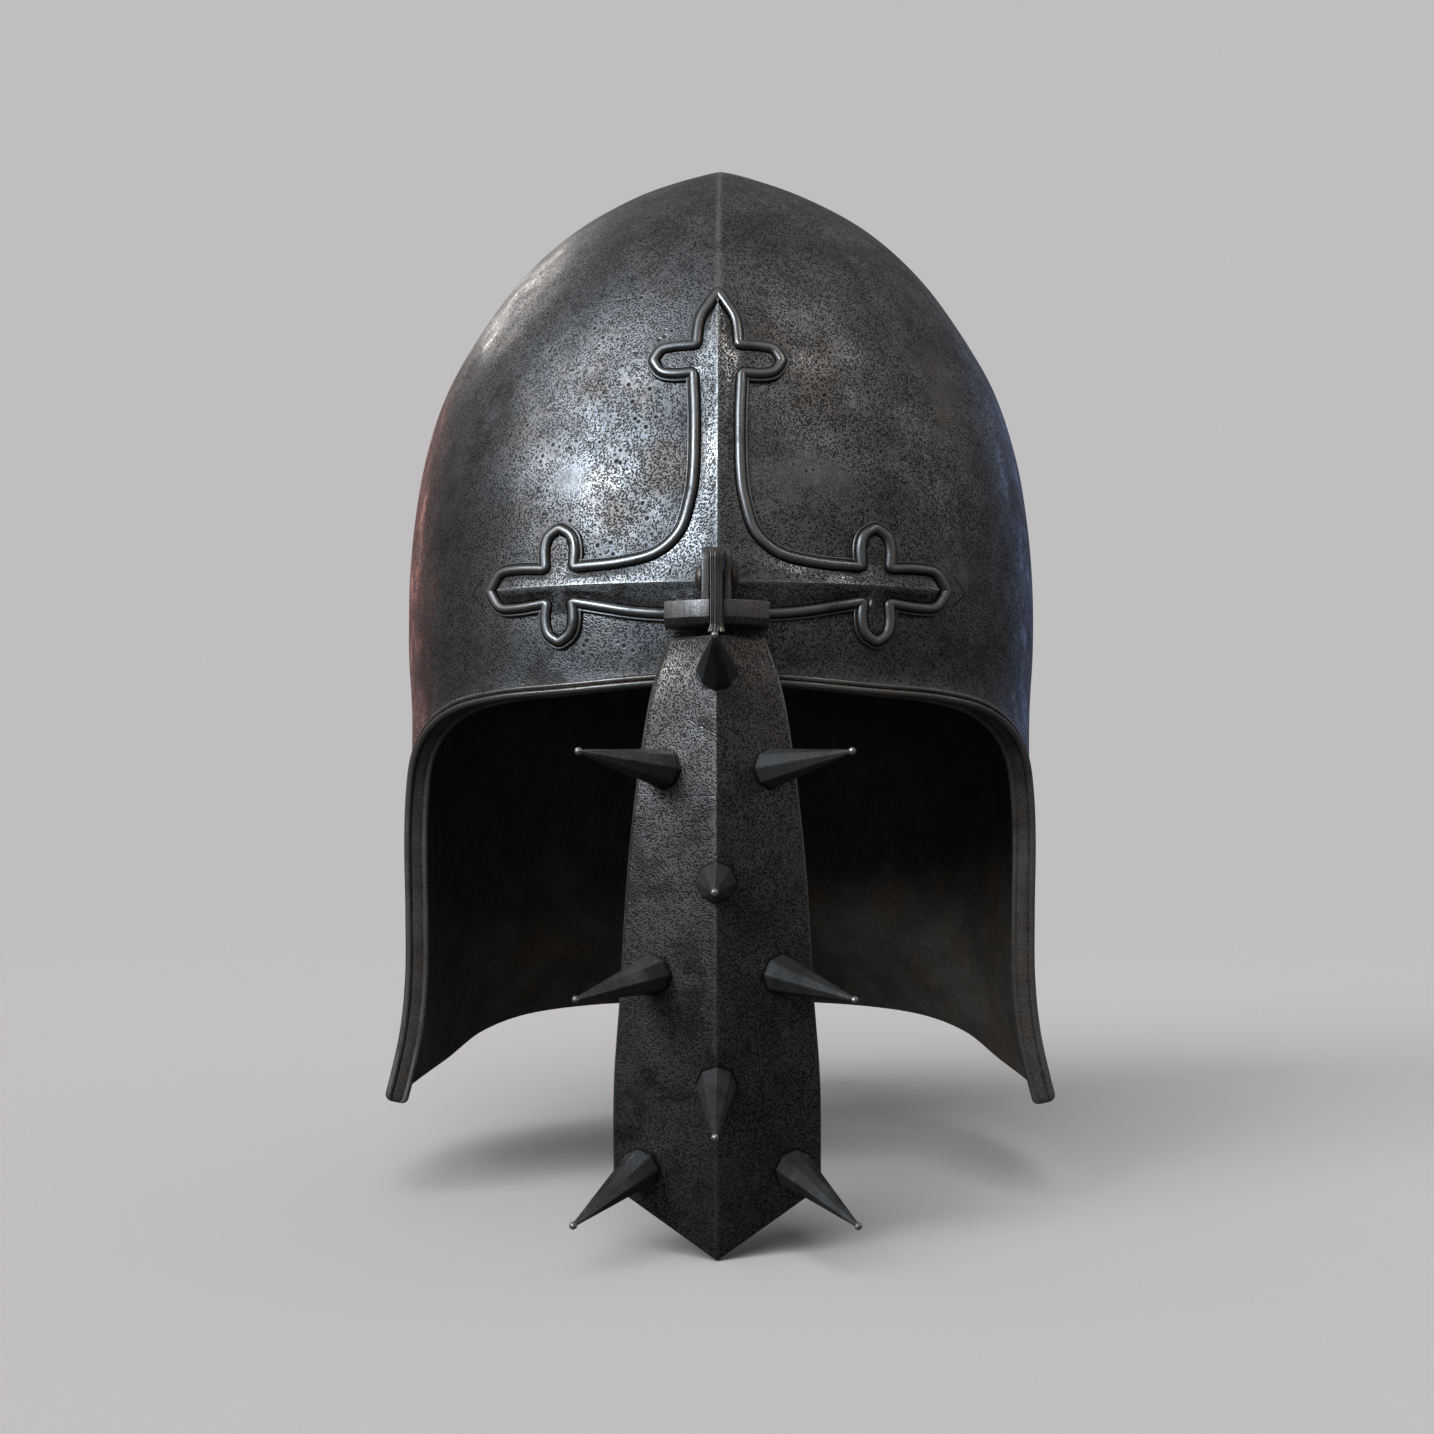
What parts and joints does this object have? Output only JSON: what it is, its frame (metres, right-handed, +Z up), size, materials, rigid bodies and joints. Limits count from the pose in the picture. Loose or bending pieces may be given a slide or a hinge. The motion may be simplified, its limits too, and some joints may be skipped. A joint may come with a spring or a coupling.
{
  "type": "barbute",
  "caption": "Open-faced steel helmet with a keeled bowl, long cheeks, flared nape, raised cross on the brow and a hinged, spiked nasal plate",
  "frame": {"origin": "middle of the head hollow at the wearer's eye level, on the plane of symmetry", "axes": "+Z up, -Y towards where the wearer faces, +X to the wearer's left"},
  "size_m": [0.2368, 0.353, 0.3706],
  "materials": {
    "sooted_steel": "blackened, pitted and lightly rubbed",
    "rubbed_steel": "smooth, browned and rubbed bright on the edges",
    "blued_steel": "dark blued, ground facets"
  },
  "bodies": {
    "helmet": {"skull": "sooted_steel", "face_rim": "rubbed_steel", "brow_cross": "sooted_steel", "cross_border": "rubbed_steel", "nasal_bracket": "sooted_steel", "hinge_pin": "rubbed_steel"},
    "nasal": {"nasal_tang": "rubbed_steel", "nasal_plate": "sooted_steel", "spike_top": "blued_steel", "spike_mid": "blued_steel", "spike_low": "blued_steel", "spike_right_1": "blued_steel", "spike_right_2": "blued_steel", "spike_right_3": "blued_steel", "spike_left_1": "blued_steel", "spike_left_2": "blued_steel", "spike_left_3": "blued_steel"}
  },
  "joints": [
    {"name": "nasal_hinge", "type": "hinge", "parent": "helmet", "child": "nasal", "pos_m": [0, -0.145, 0.0754], "axis": [-1, 0, 0], "range_deg": [0, 110]}
  ]
}
